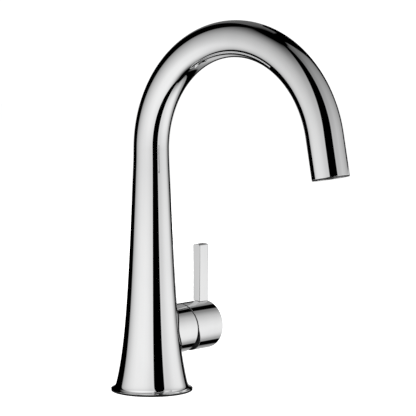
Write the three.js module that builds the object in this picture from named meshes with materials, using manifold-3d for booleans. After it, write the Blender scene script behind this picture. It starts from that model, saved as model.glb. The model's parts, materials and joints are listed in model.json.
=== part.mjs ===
// Single-lever kitchen faucet with a pull-down wand hidden in the tip of its spout.
// Millimetres, +Z up. The origin is the centre of the base on the deck plane.
// The spout reaches toward -Y, and the lever housing points along +X.
import * as THREE from "three";
import { mergeVertices } from "three/addons/utils/BufferGeometryUtils.js";
import Module from "manifold-3d";

const wasm = await Module();
wasm.setup();

const radians = THREE.MathUtils.degToRad;

// Driving dimensions of the spout
const TUBE_RADIUS = 17.7;
const TUBE_WALL = 1.5;
const ARCH_RADIUS = 109.7;
const ARCH_START = 243.2;
const ARCH_SWEEP = radians(169.1);
const TIP_LENGTH = 40.2;

// Driving dimensions of the column: a taper, a flared foot and a curled lip
const BODY_WALL = 2.5;
const TAPER_SLOPE = 0.0424;
const TAPER_BLEND = 16;
const FLARE = 10.2;
const FLARE_FADE = 43.6;
const CURL = 4;
const CURL_FADE = 1.3;
const LIP_RADIUS = 41.3;
const LIP_BOTTOM = 1.3;
const LIP_TOP = 2.2;
const SPIGOT_BOTTOM = 236;
const SPIGOT_TOP = 242.5;

// Driving dimensions of the valve and its handle, whose axis runs along +X
const VALVE_Z = 58.14;
const HOUSING_RADIUS = 24.85;
const HOUSING_END = 42.2;
const POT_RADIUS = 20.7;
const POT_BACK = -4;
const SEAT_X = 13;
const MOUTH_X = 36.3;
const CARTRIDGE_RADIUS = 17.5;
const CASE_BORE = 15.2;
const PIVOT_X = 34;
const CAP_START = 43.1;
const CAP_END = 81.5;
const CAP_CUT = radians(24);
const LEVER_DEPTH = 13.4;
const LEVER_WIDTH = 9.4;
const LEVER_TOP = 141.9;

// Driving dimensions of the deck mounting and the swivel
const RING_RADIUS = 41;
const HUB_RADIUS = 24;
const HUB_TOP = 23;
const SHANK_RADIUS = 16.5;
const SHANK_BORE = 13;
const SHANK_BOTTOM = -62;
const DECK_THICKNESS = 40;
const WEB_RADIUS = 26.8;
const WEB_BOTTOM = 8;
const WEB_TOP = 18;
const STOP_RADIUS = 29.2;
const STOP_TRAVEL = radians(83);

// Driving dimensions of the water lines and the wand
const LINE_RADIUS = 4;
const LINE_BORE = 3;
const LINE_BOTTOM = -70;
const LINE_TOP = 40.2;
const SIDE_LINE = { x: 4, y: 7.6 };
const MIXED_LINE_X = 8.6;
const HOSE_RADIUS = 5;
const WAND_RADIUS = 14.5;
const COLLAR_HEIGHT = 1.2;

const GAP = 0.3;
const FINE = 36;
const MEDIUM = 24;
const COARSE = 16;

const object = new THREE.Group();

const finishes = {
  chrome: { color: 0xd9dadb, roughness: 0.06, metalness: 1 },
  brass: { color: 0xb5974f, roughness: 0.35, metalness: 1 },
  steel: { color: 0xa6a8aa, roughness: 0.3, metalness: 1 },
  copper: { color: 0xb87a52, roughness: 0.3, metalness: 1 },
  rubber: { color: 0x161616, roughness: 0.8, metalness: 0 },
  darkPlastic: { color: 0x2b2c2e, roughness: 0.5, metalness: 0 },
  whitePlastic: { color: 0xe4e3de, roughness: 0.4, metalness: 0 },
  ceramic: { color: 0xf1efe9, roughness: 0.2, metalness: 0 },
  hose: { color: 0x6f7276, roughness: 0.45, metalness: 0.4 },
};

function add(parent, name, geometry, finish) {
  const mesh = new THREE.Mesh(geometry, new THREE.MeshStandardMaterial(finishes[finish]));
  mesh.name = name;
  parent.add(mesh);
  return mesh;
}

// Geometry helpers: every shape is closed, and turned about +Z unless it says otherwise

function revolve(profile, segments = MEDIUM) {
  const closed = [...profile, profile[0]].map(([r, z]) => new THREE.Vector2(r, z));
  return new THREE.LatheGeometry(closed, segments).rotateX(Math.PI / 2);
}

function ring(inner, outer, bottom, top, segments = MEDIUM) {
  return revolve([[inner, bottom], [outer, bottom], [outer, top], [inner, top]], segments);
}

function rod(radius, bottom, top, segments = COARSE) {
  const height = top - bottom;
  const geometry = new THREE.CylinderGeometry(radius, radius, height, segments);
  return geometry.rotateX(Math.PI / 2).translate(0, 0, bottom + height / 2);
}

function block(low, high) {
  const size = high.map((value, i) => value - low[i]);
  return new THREE.BoxGeometry(...size).translate(...low.map((value, i) => value + size[i] / 2));
}

function alongX(geometry, z = VALVE_Z) {
  return geometry.rotateY(Math.PI / 2).translate(0, 0, z);
}

function holed(outline, holes, bottom, top, curveSegments = 12) {
  const shape = new THREE.Shape(outline);
  shape.holes = holes.map(([x, y, radius]) => new THREE.Path().absarc(x, y, radius, 0, 2 * Math.PI, true));
  const options = { depth: top - bottom, bevelEnabled: false, curveSegments };
  return new THREE.ExtrudeGeometry(shape, options).translate(0, 0, bottom);
}

function circleOutline(radius, sides, turn = 0) {
  return Array.from({ length: sides }, (_, i) => {
    const angle = turn + (2 * Math.PI * i) / sides;
    return new THREE.Vector2(radius * Math.cos(angle), radius * Math.sin(angle));
  });
}

// Solid helpers: exact cuts and joins

function solid(geometry) {
  const bare = geometry.clone();
  bare.deleteAttribute("normal");
  bare.deleteAttribute("uv");
  const merged = mergeVertices(bare, 1e-4);
  return new wasm.Manifold(new wasm.Mesh({
    numProp: 3,
    vertProperties: Float32Array.from(merged.attributes.position.array),
    triVerts: Uint32Array.from(merged.index.array),
  }));
}

function surface(manifold) {
  const mesh = manifold.getMesh();
  const geometry = new THREE.BufferGeometry();
  geometry.setAttribute("position", new THREE.BufferAttribute(mesh.vertProperties, 3));
  geometry.setIndex(new THREE.BufferAttribute(mesh.triVerts, 1));
  return geometry;
}

function carve(base, ...cuts) {
  return surface(cuts.reduce((body, cut) => body.subtract(solid(cut)), solid(base)));
}

// The column's outer radius at height z

function columnRadius(z) {
  const drop = Math.max(0, ARCH_START - z);
  const taper = drop < TAPER_BLEND ? drop ** 2 / (2 * TAPER_BLEND) : drop - TAPER_BLEND / 2;
  const flare = FLARE * Math.exp(-z / FLARE_FADE);
  const curl = CURL * Math.exp(-(z - LIP_TOP) / CURL_FADE);
  return TUBE_RADIUS + TAPER_SLOPE * taper + flare + curl;
}

// Heights that crowd toward the foot, where the flare turns quickest

function columnHeights(bottom, top, count) {
  return Array.from({ length: count + 1 }, (_, i) => bottom + (top - bottom) * (i / count) ** 2.4);
}

function columnOuter(offset, count = 11) {
  return columnHeights(LIP_TOP, SPIGOT_BOTTOM, count).map((z) => [columnRadius(z) + offset, z]);
}

// Column: the tall conical body, with a swivel web in its foot and a spigot for the spout tube

function columnBody() {
  const inner = columnHeights(WEB_TOP, SPIGOT_BOTTOM - 4, 4).map((z) => [columnRadius(z) - BODY_WALL, z]);
  const profile = [
    [LIP_RADIUS, LIP_BOTTOM],
    ...columnOuter(0),
    [TUBE_RADIUS - TUBE_WALL - GAP, SPIGOT_BOTTOM],
    [TUBE_RADIUS - TUBE_WALL - GAP, SPIGOT_TOP],
    [TUBE_RADIUS - TUBE_WALL - GAP - 1.5, SPIGOT_TOP],
    [TUBE_RADIUS - TUBE_WALL - GAP - 1.5, SPIGOT_BOTTOM],
    ...inner.reverse(),
    [WEB_RADIUS, WEB_TOP],
    [WEB_RADIUS, WEB_BOTTOM],
    [columnRadius(WEB_BOTTOM) - BODY_WALL, WEB_BOTTOM],
    [columnRadius(4) - BODY_WALL, LIP_BOTTOM],
  ];
  const potHole = alongX(rod(POT_RADIUS + GAP, 5, 60, MEDIUM));
  return carve(revolve(profile, FINE), potHole, stopSlot());
}

// The blind arc slot under the web, which the deck ring's stop pin runs in

function stopSlot() {
  const halfWidth = 1.6;
  const middle = -Math.PI / 2;
  const shape = new THREE.Shape();
  shape.absarc(0, 0, STOP_RADIUS + halfWidth, middle - STOP_TRAVEL, middle + STOP_TRAVEL, false);
  shape.absarc(0, 0, STOP_RADIUS - halfWidth, middle + STOP_TRAVEL, middle - STOP_TRAVEL, true);
  const options = { depth: 6, bevelEnabled: false, curveSegments: COARSE };
  return new THREE.ExtrudeGeometry(shape, options).translate(0, 0, WEB_BOTTOM - 1);
}

// The spout's axis: a short rise, the arch, and the straight tip

class SpoutAxis extends THREE.Curve {
  constructor(rise, tip) {
    super();
    this.rise = rise;
    this.arch = ARCH_RADIUS * ARCH_SWEEP;
    this.tip = tip;
  }

  getPoint(t, target = new THREE.Vector3()) {
    const along = t * (this.rise + this.arch + this.tip) - this.rise;
    const angle = THREE.MathUtils.clamp(along, 0, this.arch) / ARCH_RADIUS;
    const straight = along - angle * ARCH_RADIUS;
    const y = -ARCH_RADIUS * (1 - Math.cos(angle)) - straight * Math.sin(angle);
    const z = ARCH_START + ARCH_RADIUS * Math.sin(angle) + straight * Math.cos(angle);
    return target.set(0, y, z);
  }
}

function spoutTube() {
  const axis = new SpoutAxis(ARCH_START - SPIGOT_BOTTOM - GAP, TIP_LENGTH - COLLAR_HEIGHT - GAP);
  const shape = new THREE.Shape(circleOutline(TUBE_RADIUS, MEDIUM));
  shape.holes = [new THREE.Path(circleOutline(TUBE_RADIUS - TUBE_WALL, MEDIUM).reverse())];
  return new THREE.ExtrudeGeometry(shape, { extrudePath: axis, steps: 26, bevelEnabled: false });
}

// Deck mounting: everything that stays still when the column swivels

function deckRing() {
  const profile = [
    [SHANK_RADIUS + GAP, 0], [29, 0], [29, 1.5], [32, 1.5], [32, 0], [RING_RADIUS, 0], [RING_RADIUS, 0.7],
    [RING_RADIUS - 0.3, 1], [34, 1], [34, 4], [HUB_RADIUS, 4], [HUB_RADIUS, HUB_TOP], [SHANK_RADIUS + GAP, HUB_TOP],
  ];
  const pinHole = rod(1.2 + GAP, 1.8, 5).translate(0, -STOP_RADIUS, 0);
  return carve(revolve(profile, FINE), pinHole);
}

function addDeckMounting(parent) {
  const clampTop = -DECK_THICKNESS;
  add(parent, "deck_ring", deckRing(), "chrome");
  add(parent, "deck_gasket", ring(29 + GAP, 32 - GAP, 0, 1.2, FINE), "rubber");
  add(parent, "stop_pin", rod(1.2, 2.1, 11.5, 12).translate(0, -STOP_RADIUS, 0), "steel");
  add(parent, "threaded_shank", ring(SHANK_BORE, SHANK_RADIUS, SHANK_BOTTOM, HUB_TOP + 1), "brass");
  add(parent, "swivel_nut", ring(HUB_RADIUS + GAP, 29.5, WEB_TOP + 0.5, HUB_TOP - 0.5), "brass");
  add(parent, "clamp_gasket", ring(SHANK_RADIUS + GAP, 27, clampTop - 3, clampTop), "rubber");
  add(parent, "clamp_washer", ring(SHANK_RADIUS + GAP, 27, clampTop - 6.3, clampTop - 3 - GAP), "steel");
  const nut = holed(circleOutline(26.5, 6), [[0, 0, SHANK_RADIUS + GAP]], clampTop - 18, clampTop - 6.6, 24);
  add(parent, "clamp_nut", nut, "brass");
}

// Valve housing: the round sleeve outside the column, and the drilled pot inside it

function valveHousing() {
  const sleeve = solid(alongX(rod(HOUSING_RADIUS, 6, HOUSING_END, FINE)));
  const columnRoom = solid(revolve([[0, LIP_TOP], ...columnOuter(GAP), [0, SPIGOT_BOTTOM]], FINE));
  const pot = solid(alongX(rod(POT_RADIUS, POT_BACK, HOUSING_END - 1, MEDIUM)));
  const cartridgeBore = alongX(rod(CARTRIDGE_RADIUS + GAP, SEAT_X, MOUTH_X + 1, MEDIUM));
  const mouth = alongX(rod(20.5, MOUTH_X, HOUSING_END + 1, MEDIUM));
  const drillings = [];
  for (const side of [-1, 1]) {
    drillings.push(rod(LINE_RADIUS + GAP, 30, LINE_TOP + GAP).translate(SIDE_LINE.x, side * SIDE_LINE.y, 0));
    drillings.push(rod(2.6, 35, 57).translate(SIDE_LINE.x, side * SIDE_LINE.y, 0));
    drillings.push(alongX(rod(2.6, SIDE_LINE.x, SEAT_X + 1), 54.5).translate(0, side * SIDE_LINE.y, 0));
  }
  drillings.push(rod(LINE_RADIUS + GAP, 30, LINE_TOP + GAP).translate(MIXED_LINE_X, 0, 0));
  drillings.push(rod(2.6, 35, 67).translate(MIXED_LINE_X, 0, 0));
  drillings.push(alongX(rod(2.6, MIXED_LINE_X, SEAT_X + 1), 65));
  const body = sleeve.subtract(columnRoom).add(pot);
  return surface([cartridgeBore, mouth, ...drillings].reduce((part, cut) => part.subtract(solid(cut)), body));
}

function addWaterLines(parent) {
  const line = () => ring(LINE_BORE, LINE_RADIUS, LINE_BOTTOM, LINE_TOP, 16);
  add(parent, "cold_inlet_tube", line().translate(SIDE_LINE.x, -SIDE_LINE.y, 0), "copper");
  add(parent, "hot_inlet_tube", line().translate(SIDE_LINE.x, SIDE_LINE.y, 0), "copper");
  add(parent, "mixed_outlet_tube", line().translate(MIXED_LINE_X, 0, 0), "copper");
}

// The ceramic cartridge: built along the valve's own axis, so its local +Z is the object's +X

function portHoles(radius) {
  return [[3.64, -SIDE_LINE.y, radius], [3.64, SIDE_LINE.y, radius], [-6.86, 0, radius]];
}

function cartridgeBase() {
  const plate = holed(circleOutline(CARTRIDGE_RADIUS, MEDIUM), portHoles(2.6), SEAT_X + GAP, 16.3);
  return carve(plate, rod(13 + GAP, SEAT_X, SEAT_X + 1.6, MEDIUM));
}

function cartridgeCase() {
  return revolve([
    [CASE_BORE, 16.6], [CARTRIDGE_RADIUS, 16.6], [CARTRIDGE_RADIUS, 36], [12, 36], [12, 34], [CASE_BORE, 34],
  ]);
}

function stemGuide() {
  const turntable = revolve([[0, 25.4], [14.6, 25.4], [14.6, 33.6], [11.6, 33.6], [11.6, 37.5], [0, 37.5]]);
  const slot = block([-6.5, -4.4, 25], [6.2, 4.4, 38]);
  const pinHole = rod(1.8, -16, 16, 16).rotateX(Math.PI / 2).translate(0, 0, PIVOT_X);
  return carve(turntable, slot, pinHole);
}

function stem() {
  const shaft = solid(rod(2.4, 23, 30, 16));
  const ball = solid(new THREE.SphereGeometry(2.8, 16, 10).translate(0, 0, 23.3));
  const square = solid(block([-4, -4, 29], [4, 4, 62]));
  const pinHole = solid(rod(1.8, -6, 6, 16).rotateX(Math.PI / 2).translate(0, 0, PIVOT_X));
  return surface(shaft.add(ball).add(square).subtract(pinHole));
}

function addCartridge(parent) {
  const gasket = holed(circleOutline(13, MEDIUM), portHoles(2.6), SEAT_X + GAP, SEAT_X + 1.3);
  add(parent, "port_gasket", gasket, "rubber");
  add(parent, "cartridge_base", cartridgeBase(), "darkPlastic");
  add(parent, "cartridge_case", cartridgeCase(), "whitePlastic");
  add(parent, "fixed_disc", holed(circleOutline(13.9, MEDIUM), portHoles(2.4), 16.6, 19), "ceramic");
  add(parent, "moving_disc", ring(5.5, 10.2, 19.2, 21.4), "ceramic");
  add(parent, "disc_carrier", ring(3.6, 10.2, 21.7, 25), "darkPlastic");
  add(parent, "stem_guide", stemGuide(), "whitePlastic");
  add(parent, "stem_pin", rod(1.5, -11, 11, 12).rotateX(Math.PI / 2).translate(0, 0, PIVOT_X), "steel");
  add(parent, "stem", stem(), "steel");
  add(parent, "cartridge_nut", ring(12.4, 20.2, MOUTH_X, 41.3), "brass");
}

// Handle: the cap that covers the stem, and the flat lever standing on it

function handleCap() {
  const chamfer = 1;
  const shell = solid(revolve([
    [0, CAP_START], [HOUSING_RADIUS - 0.6, CAP_START], [HOUSING_RADIUS, CAP_START + 0.6],
    [HOUSING_RADIUS, CAP_END - chamfer], [HOUSING_RADIUS - chamfer, CAP_END], [0, CAP_END],
  ], FINE));
  const hollow = solid(ring(8, 21.5, CAP_START - 1, 67));
  const socketRoom = solid(rod(9, CAP_START - 1, 50, MEDIUM));
  const stemSocket = solid(block([-4.3, -4.3, 49], [4.3, 4.3, 62.3]));
  const wedge = block([0, -30, -30], [40, 30, 0]).rotateY(-CAP_CUT).translate(0, 0, CAP_START);
  const leverSocket = rod(2.8, 0, 11, 16).rotateY(-Math.PI / 2).translate(-14, 0, CAP_END - LEVER_DEPTH / 2);
  const screwHole = rod(2 + GAP, 0, 20, 16).rotateY(Math.PI / 2).translate(4, 0, 56);
  const cuts = [wedge, leverSocket, screwHole].map(solid);
  return surface([hollow, socketRoom, stemSocket, ...cuts].reduce((part, cut) => part.subtract(cut), shell));
}

function leverBar() {
  const foot = Math.sqrt(HOUSING_RADIUS ** 2 - (LEVER_WIDTH / 2) ** 2);
  const height = LEVER_TOP - VALVE_Z;
  const start = CAP_END - LEVER_DEPTH;
  const outline = new THREE.Shape();
  const halfWidth = LEVER_WIDTH / 2;
  const corner = 1.6;
  outline.moveTo(-halfWidth, foot - 2);
  outline.lineTo(halfWidth, foot - 2);
  outline.lineTo(halfWidth, height - corner);
  outline.absarc(halfWidth - corner, height - corner, corner, 0, Math.PI / 2, false);
  outline.absarc(-halfWidth + corner, height - corner, corner, Math.PI / 2, Math.PI, false);
  const edge = 0.4;
  const options = { depth: LEVER_DEPTH - 2 * edge, bevelThickness: edge, bevelSize: edge, bevelOffset: -edge,
    bevelSegments: 1, curveSegments: 5 };
  const bar = new THREE.ExtrudeGeometry(outline, options).rotateZ(Math.PI / 2).translate(0, 0, start + edge);
  const capRoom = rod(HOUSING_RADIUS + GAP, CAP_START, CAP_END + 1, FINE);
  const spigot = rod(2.5, 14.6, foot + 4, 16).rotateY(-Math.PI / 2).translate(0, 0, CAP_END - LEVER_DEPTH / 2);
  return surface(solid(bar).subtract(solid(capRoom)).add(solid(spigot)));
}

function addHandle(parent) {
  add(parent, "handle_cap", handleCap(), "chrome");
  add(parent, "lever_bar", leverBar(), "chrome");
  add(parent, "stem_screw", rod(2, 4.4, 10, 12).rotateY(Math.PI / 2).translate(0, 0, 56), "steel");
}

// The pull-down wand: built on the tip's axis, whose local +Z points back up into the spout

function wandBody() {
  return revolve([
    [12.7, COLLAR_HEIGHT + GAP], [WAND_RADIUS, COLLAR_HEIGHT + GAP], [WAND_RADIUS, 38], [10.5, 55], [7.5, 62],
    [4, 62], [4, 52], [9, 50], [9, 14], [12.7, 14],
  ]);
}

function wandCollar() {
  const chamfer = 0.4;
  return revolve([
    [12.9, 0], [TUBE_RADIUS - chamfer, 0], [TUBE_RADIUS, chamfer], [TUBE_RADIUS, COLLAR_HEIGHT], [12.9, COLLAR_HEIGHT],
  ], FINE);
}

function aerator() {
  const face = circleOutline(12.3, MEDIUM);
  const holes = [[0, 0, 1.1]];
  for (const [count, distance] of [[6, 4], [12, 8]]) {
    for (const { x, y } of circleOutline(distance, count)) {
      holes.push([x, y, 1.1]);
    }
  }
  return holed(face, holes, 0.5, 5, 3);
}

function addWand(parent) {
  add(parent, "dock_bush", ring(WAND_RADIUS + 0.4, TUBE_RADIUS - TUBE_WALL - GAP, 3, 30), "darkPlastic");
  add(parent, "wand_collar", wandCollar(), "chrome");
  add(parent, "wand_body", wandBody(), "darkPlastic");
  add(parent, "aerator", aerator(), "whitePlastic");
  add(parent, "aerator_screen", ring(2, 12.3, 5.3, 8, COARSE), "steel");
  add(parent, "aerator_seal", ring(10, 12.3, 10, 12.5), "rubber");
  add(parent, "check_valve", ring(2.5, 8.6, 36, 46, COARSE), "whitePlastic");
  const nut = holed(circleOutline(8.5, 6), [[0, 0, 3]], 62.3, 71, 8);
  add(parent, "hose_nut", nut, "brass");
  add(parent, "hose_tail", rod(HOSE_RADIUS, 71.3, 80, 12), "hose");
}

// The wand's hose inside the object: up the shank, past the valve, and round the arch to its tail

function hoseRoute() {
  const points = [
    [-6.8, 0, -70], [-6.8, 0, -20], [-6.8, 0, 20], [-11, 0, 38], [-12, 0, 60], [-11.5, 0, 82],
    [-5, 0, 115], [-1, 0, 150], [0, 0, 190], [0, 0, 225],
  ].map((point) => new THREE.Vector3(...point));
  const outward = [[0, 0], [25, 0], [50, 0.3], [75, 1.5], [95, 4], [112, 7], [127, 9.2], [139, 10.2]];
  for (const [angle, offset] of outward) {
    const radius = ARCH_RADIUS + offset;
    const turn = radians(angle);
    points.push(new THREE.Vector3(0, -ARCH_RADIUS + radius * Math.cos(turn), ARCH_START + radius * Math.sin(turn)));
  }
  for (const height of [86.5, 80 + GAP]) {
    points.push(new THREE.Vector3(0, 0, height).applyMatrix4(tipFrame().matrix));
  }
  return new THREE.CatmullRomCurve3(points);
}

// A group at the outlet, turned so that its +Z runs back up the tip

function tipFrame() {
  const frame = new THREE.Group();
  new SpoutAxis(0, TIP_LENGTH).getPoint(1, frame.position);
  frame.rotation.x = ARCH_SWEEP - Math.PI;
  frame.updateMatrix();
  return frame;
}

function valveFrame() {
  const frame = new THREE.Group();
  frame.position.z = VALVE_Z;
  frame.rotation.y = Math.PI / 2;
  return frame;
}

addDeckMounting(object);
add(object, "swivel_bush", ring(HUB_RADIUS + GAP, WEB_RADIUS - GAP, 4.3, WEB_TOP + 0.2), "whitePlastic");
add(object, "column_body", columnBody(), "chrome");
add(object, "spout_tube", spoutTube(), "chrome");
add(object, "valve_housing", valveHousing(), "chrome");
addWaterLines(object);

const valve = valveFrame();
addCartridge(valve);
addHandle(valve);
object.add(valve);

const tip = tipFrame();
addWand(tip);
object.add(tip);

const hoseShape = new THREE.Shape(circleOutline(HOSE_RADIUS, 8));
add(object, "wand_hose", new THREE.ExtrudeGeometry(hoseShape, { extrudePath: hoseRoute(), steps: 44 }), "hose");

export default object;
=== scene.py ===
"""The looks of the kitchen faucet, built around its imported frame.

A polished skin, a valve with a lever handle, a pull-down wand on its hose, and the fittings under the deck.
Sizes are in millimetres until a mesh is made, and angles in radians unless a name or a comment says degrees.
"""

import json
import math

import bmesh
import bpy
from mathutils import Matrix, Vector

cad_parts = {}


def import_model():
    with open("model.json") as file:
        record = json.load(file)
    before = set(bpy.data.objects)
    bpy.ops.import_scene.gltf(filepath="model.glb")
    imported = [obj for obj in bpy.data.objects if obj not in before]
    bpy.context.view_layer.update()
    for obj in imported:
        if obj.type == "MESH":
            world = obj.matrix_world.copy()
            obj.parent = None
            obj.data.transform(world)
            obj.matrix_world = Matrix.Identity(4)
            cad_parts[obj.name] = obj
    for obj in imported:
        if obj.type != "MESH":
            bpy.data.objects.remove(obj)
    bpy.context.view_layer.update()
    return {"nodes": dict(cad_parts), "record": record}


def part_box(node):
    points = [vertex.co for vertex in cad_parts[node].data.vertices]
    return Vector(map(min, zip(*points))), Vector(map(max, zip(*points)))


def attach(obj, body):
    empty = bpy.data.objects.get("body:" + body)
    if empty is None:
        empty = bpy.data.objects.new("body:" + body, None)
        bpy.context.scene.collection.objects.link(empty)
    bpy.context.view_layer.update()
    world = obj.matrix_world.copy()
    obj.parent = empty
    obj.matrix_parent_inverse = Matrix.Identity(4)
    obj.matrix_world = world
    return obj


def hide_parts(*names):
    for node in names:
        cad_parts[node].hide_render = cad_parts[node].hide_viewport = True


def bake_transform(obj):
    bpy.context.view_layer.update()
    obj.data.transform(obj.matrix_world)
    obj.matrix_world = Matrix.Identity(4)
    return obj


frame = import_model()

MM = 0.001
TURN = 2 * math.pi
ORIGIN = Vector((0, 0, 0))
X_AXIS = Vector((1, 0, 0))
Y_AXIS = Vector((0, 1, 0))
Z_AXIS = Vector((0, 0, 1))


def span(node):
    """The lowest and highest corner of a CAD node, in millimetres."""
    low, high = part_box(node)
    return low / MM, high / MM


# The driving sizes, the same as the CAD part's

TUBE_RADIUS = 17.7
TUBE_WALL = 1.5
ARCH_RADIUS = 109.7
ARCH_START = 243.2
ARCH_SWEEP = math.radians(169.1)
TIP_LENGTH = 40.2
COLLAR_HEIGHT = 1.2

BODY_WALL = 2.5
TAPER_SLOPE = 0.0424
TAPER_BLEND = 16
FLARE = 10.2
FLARE_FADE = 43.6
CURL = 4
CURL_FADE = 1.3
LIP_TOP = 2.2
LIP_BOTTOM = span("column_body")[0].z
LIP_RADIUS = span("column_body")[1].x
WEB_RADIUS = 26.8
WEB_BOTTOM = 8
WEB_TOP = 18

VALVE_Z = 58.14
HOUSING_RADIUS = span("valve_housing")[1].y
HOUSING_END = span("valve_housing")[1].x
POT_RADIUS = 20.7
POT_BACK = span("valve_housing")[0].x
SEAT_X = 13
MOUTH_X = span("cartridge_nut")[0].x
MOUTH_RADIUS = 20.5
BORE_RADIUS = 17.8
CAP_START = span("handle_cap")[0].x
CAP_END = span("handle_cap")[1].x
CAP_SLOPE = math.tan(math.radians(24))
CAP_HOLLOW = 67
CAP_HOLLOW_RADIUS = 21.5
HUB_FACE = 50
HUB_RADIUS = 9

WAND_RADIUS = 14.5
HOSE_RADIUS = 5
SHANK_RADIUS = 16.5
SHANK_BORE = 13
THREAD_PITCH = 2
THREAD_DEPTH = 1
GAP = 0.3

# Sizes that only the looks have: the crisp edge of the foot, and the dark seals that show as thin lines

LIP_EDGE = 2.05
CURL_BOTTOM = LIP_TOP + 0.2
GASKET_BORE = 38
SEAL = 0.9
LINER_LIP = 1
OUTLET_SEAL_TOP = 0.8

# Places: upright on the deck, on the valve's axis, and on the tip's axis with +Z back up into the spout

UPRIGHT = Matrix.Identity(4)
ON_VALVE = Matrix.Translation((0, 0, VALVE_Z)) @ Matrix.Rotation(math.pi / 2, 4, "Y")


def spout_frame(angle, beyond=0.0):
    """Centre, outward direction and forward direction of the spout's axis at an angle round its arch."""
    outward = Vector((0, math.cos(angle), math.sin(angle)))
    forward = Vector((0, -math.sin(angle), math.cos(angle)))
    centre = Vector((0, -ARCH_RADIUS, ARCH_START)) + ARCH_RADIUS * outward + beyond * forward
    return centre, outward, forward


OUTLET = spout_frame(ARCH_SWEEP, TIP_LENGTH)[0]
ON_TIP = Matrix.Translation(OUTLET) @ Matrix.Rotation(ARCH_SWEEP - math.pi, 4, "X")


# Mesh making

SIDES = 128
FILLET_STEPS = 6


def rounded(corners, closed=True):
    """Corners are (radius, height) or (radius, height, fillet); a corner with a fillet becomes an arc."""
    points = []
    for i, corner in enumerate(corners):
        here = Vector(corner[:2])
        inside = closed or 0 < i < len(corners) - 1
        if len(corner) == 2 or not inside:
            points.append(here)
            continue
        back = (Vector(corners[i - 1][:2]) - here).normalized()
        ahead = (Vector(corners[(i + 1) % len(corners)][:2]) - here).normalized()
        half = back.angle(ahead) / 2
        centre = here + (back + ahead).normalized() * (corner[2] / math.sin(half))
        arm = here + back * (corner[2] / math.tan(half)) - centre
        side = 1 if back.cross(ahead) < 0 else -1
        for step in range(FILLET_STEPS + 1):
            swing = Matrix.Rotation(side * (math.pi - 2 * half) * step / FILLET_STEPS, 2)
            points.append(centre + swing @ arm)
    return points


def circle(centre, across, upward, radius, sides=SIDES):
    """A ring of points; radius is a number or a function of the angle."""
    ring = []
    for i in range(sides):
        angle = TURN * i / sides
        reach = radius(angle) if callable(radius) else radius
        ring.append(centre + reach * (math.cos(angle) * across + math.sin(angle) * upward))
    return ring


def quarter(edge):
    """Steps of a quarter round: (how far in from the face, how far down from the side)."""
    swings = [math.pi / 2 * i / FILLET_STEPS for i in range(FILLET_STEPS + 1)]
    return [(edge * (1 - math.sin(swing)), edge * (1 - math.cos(swing))) for swing in swings]


def stitched(name, rings, closed=True, place=UPRIGHT, sharp=35):
    """One mesh through rings of points.

    A ring of one point is a pole. A closed run joins its last ring to its first. Sharp is in degrees."""
    shell = bmesh.new()
    made = [[shell.verts.new(place @ point * MM) for point in ring] for ring in rings]
    pairs = list(zip(made, made[1:] + made[:1])) if closed else list(zip(made, made[1:]))
    for one, two in pairs:
        count = max(len(one), len(two))
        for i in range(count):
            k = (i + 1) % count
            if len(one) == 1:
                shell.faces.new((one[0], two[k], two[i]))
            elif len(two) == 1:
                shell.faces.new((one[i], one[k], two[0]))
            else:
                shell.faces.new((one[i], one[k], two[k], two[i]))
    return finished(name, shell, sharp)


def finished(name, shell, sharp=35):
    """The object of a bmesh, smooth except along edges sharper than an angle in degrees."""
    bmesh.ops.recalc_face_normals(shell, faces=shell.faces)
    mesh = bpy.data.meshes.new(name)
    shell.to_mesh(mesh)
    shell.free()
    mesh.shade_smooth()
    mesh.set_sharp_from_angle(angle=math.radians(sharp))
    piece = bpy.data.objects.new(name, mesh)
    bpy.context.scene.collection.objects.link(piece)
    weighted = piece.modifiers.new("weighted", "WEIGHTED_NORMAL")
    weighted.keep_sharp = True
    return piece


def turned(name, corners, place=UPRIGHT, sides=96):
    """A ring turned about its own Z from a closed profile of (radius, height) or (radius, height, fillet)."""
    rings = [circle(height * Z_AXIS, X_AXIS, Y_AXIS, radius, sides) for radius, height in rounded(corners)]
    return stitched(name, rings, True, place)


def hexagon(name, circumradius, bore, bottom, top, place=UPRIGHT):
    """A hexagon nut with chamfered corners and a plain chamfered bore."""
    flat = circumradius * math.cos(math.pi / 6)
    bite, bore_chamfer, steps, sides = 0.4, 0.6, 6, 96
    chamfer = circumradius - flat + bite

    def outline(inset):
        limit = flat - bite + inset * math.sqrt(3)
        return lambda angle: min(limit, flat / math.cos(angle % (math.pi / 3) - math.pi / 6))

    insets = [chamfer / math.sqrt(3) * i / steps for i in range(steps + 1)]
    rows = [(outline(inset), bottom + inset) for inset in insets]
    rows += [(outline(inset), top - inset) for inset in reversed(insets)]
    rows += [(bore + bore_chamfer, top), (bore, top - bore_chamfer)]
    rows += [(bore, bottom + bore_chamfer), (bore + bore_chamfer, bottom)]
    rings = [circle(height * Z_AXIS, X_AXIS, Y_AXIS, radius, sides) for radius, height in rows]
    return stitched(name, rings, True, place, sharp=25)


# Materials: each is a principled shader whose colour, roughness and relief vary over the surface


def new_material(name, metallic=0.0):
    """A new material, its node tree and its principled shader."""
    material = bpy.data.materials.new(name)
    material.use_nodes = True
    shader = material.node_tree.nodes["Principled BSDF"]
    shader.inputs["Metallic"].default_value = metallic
    return material, material.node_tree, shader


def calculate(tree, operation, *values):
    """The result of a math node whose inputs are numbers or sockets."""
    node = tree.nodes.new("ShaderNodeMath")
    node.operation = operation
    for socket, value in zip(node.inputs, values):
        if isinstance(value, (int, float)):
            socket.default_value = value
        else:
            tree.links.new(value, socket)
    return node.outputs[0]


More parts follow.
